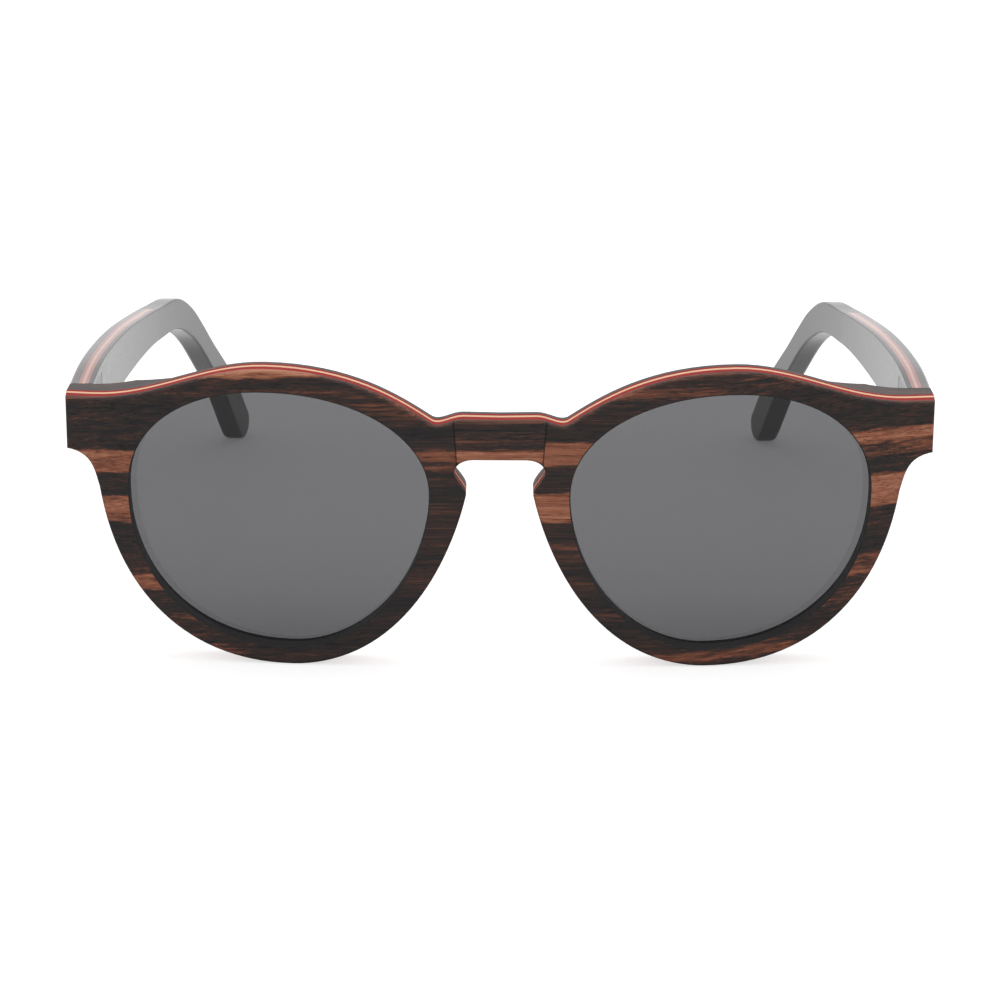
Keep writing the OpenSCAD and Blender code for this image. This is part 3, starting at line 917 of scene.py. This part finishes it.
for side, sign in zip(SIDES, (1, -1)):
    body = f"{side}_temple"

    def on_temple(point, depth, sign=sign):
        reach = TEMPLE_R - depth
        back = point.x - TEMPLE_APEX_Y
        x = TEMPLE_OUT - TEMPLE_R + math.sqrt(reach * reach - back * back)
        return Vector((sign * x, point.x, point.y))

    outer = ply(
        outline_of(f"temple_red_{side}", X_AXIS, sign)[:1],
        on_temple,
        (0, TEMPLE_PLY),
        ((TEMPLE_ROUND, 0),),
        held=(TEMPLE_JOINT_Y,),
    )
    show(outer, f"outer_{side}", body, f"temple_outer_{side}", (temple_wood,))
    inner_loops = outline_of(f"temple_inner_{side}", X_AXIS, -sign)
    inner = ply(
        inner_loops,
        on_temple,
        (TEMPLE_INNER, TEMPLE_DEPTH),
        ((0, TEMPLE_ROUND * INNER_SHARE),) + ((0, 0),) * (len(inner_loops) - 1),
        held=(TEMPLE_FRONT_Y, TEMPLE_JOINT_Y),
    )
    inner_looks = (temple_inner_wood, temple_inner_wood)
    show(inner, f"inner_{side}", body, f"temple_inner_{side}", inner_looks)
    tip = ply(
        outline_of(f"temple_tip_{side}", X_AXIS, sign)[:1],
        on_temple,
        (0, TEMPLE_DEPTH),
        ((MM, MM * INNER_SHARE),),
        held=(TEMPLE_JOINT_Y,),
        growth=tip_rounding,
    )
    show(tip, f"tip_{side}", body, f"temple_tip_{side}", (tip_acetate,))
    for part, (material, slot) in BAND_LOOKS.items():
        dress(f"{part}_{side}", material)


# Lenses and metal pieces

METAL_ROUND = 0.1 * MM
METAL_SEGMENTS = 2
METAL_ANGLE = math.radians(40)


def soften(node):
    """Rounds the edges of a metal CAD node with modifiers."""
    weld = nodes[node].modifiers.new("weld", "WELD")
    weld.merge_threshold = WELD
    bevel = nodes[node].modifiers.new("bevel", "BEVEL")
    bevel.width = METAL_ROUND
    bevel.segments = METAL_SEGMENTS
    bevel.limit_method = "ANGLE"
    bevel.angle_limit = METAL_ANGLE


for side in SIDES:
    dress(f"lens_{side}", lens_tint)
    dress(f"front_leaf_{side}", hinge_steel)
    dress(f"temple_leaf_{side}", hinge_steel)
    dress(f"hinge_screw_{side}", screw_steel)
    dress(f"temple_leaf_screws_{side}", screw_steel)
    soften(f"front_leaf_{side}")
    soften(f"temple_leaf_{side}")
dress("front_leaf_screws", screw_steel)


# Stage and light

FLOOR_SIZE = 8
PAPER = 0.6

# Glow of the floor to the camera, and in reflections, where it rises between two values of Y
GLOW = 0.66
MIRRORED_GLOW = 0.7
MIRRORED_Y = (-0.03, 0.1)

bpy.ops.mesh.primitive_plane_add(size=FLOOR_SIZE)
floor = bpy.context.object
floor.name = "floor"
floor_material = new_material("floor")
tree = floor_material.node_tree
paper = add(tree, "ShaderNodeBsdfDiffuse", {"Color": grey(PAPER)})
path = add(tree, "ShaderNodeLightPath")
place = add(tree, "ShaderNodeNewGeometry").outputs["Position"]
spot = add(tree, "ShaderNodeSeparateXYZ", {0: place})
rear = map_range(tree, spot.outputs[1], *MIRRORED_Y, 0.0, MIRRORED_GLOW, smooth=True)
mirrored = math_node(tree, "MULTIPLY", path.outputs["Is Glossy Ray"], rear)
strength = math_node(tree, "MULTIPLY_ADD", path.outputs["Is Camera Ray"], GLOW, mirrored)
glow = add(tree, "ShaderNodeEmission", {"Strength": strength})
both = add(tree, "ShaderNodeAddShader", {0: paper.outputs[0], 1: glow.outputs[0]})
finish_material(tree, both.outputs[0])
floor.data.materials.append(floor_material)

# Strength of the surroundings as light, and as mirrored before and behind the part
AMBIENT = 0.75
BEFORE = 0.4
BEHIND = 1.2
SWEEP = 0.6

world = bpy.data.worlds.new("studio")
bpy.context.scene.world = world
world.use_nodes = True
tree = world.node_tree
tree.nodes.clear()
way = add(tree, "ShaderNodeTexCoord")
split = add(tree, "ShaderNodeSeparateXYZ", {0: way.outputs["Generated"]})
mirrored = map_range(tree, split.outputs[1], -SWEEP, SWEEP, BEFORE, BEHIND, smooth=True)
path = add(tree, "ShaderNodeLightPath")
strength = math_node(tree, "MULTIPLY_ADD", path.outputs["Is Camera Ray"], 1 - AMBIENT, AMBIENT)
glossy = add(
    tree,
    "ShaderNodeMix",
    {0: path.outputs["Is Glossy Ray"], 2: strength, 3: mirrored},
    data_type="FLOAT",
)
background = add(tree, "ShaderNodeBackground", {"Color": (1, 1, 1, 1), "Strength": glossy.outputs[0]})
out = add(tree, "ShaderNodeOutputWorld")
tree.links.new(background.outputs[0], out.inputs["Surface"])


LAMP_PLACE = Vector((0, 0.15, 0.9))
LAMP_WIDTH = 0.9
LAMP_DEPTH = 0.7
LAMP_POWER = 1.8

lamp_data = bpy.data.lights.new("overhead", "AREA")
lamp_data.shape = "RECTANGLE"
lamp_data.size = LAMP_WIDTH
lamp_data.size_y = LAMP_DEPTH
lamp_data.energy = LAMP_POWER
lamp = bpy.data.objects.new("overhead", lamp_data)
lamp.location = LAMP_PLACE
lamp.rotation_euler = (-LAMP_PLACE).to_track_quat("-Z", "Y").to_euler()
bpy.context.scene.collection.objects.link(lamp)

bpy.context.scene.view_settings.view_transform = "Standard"
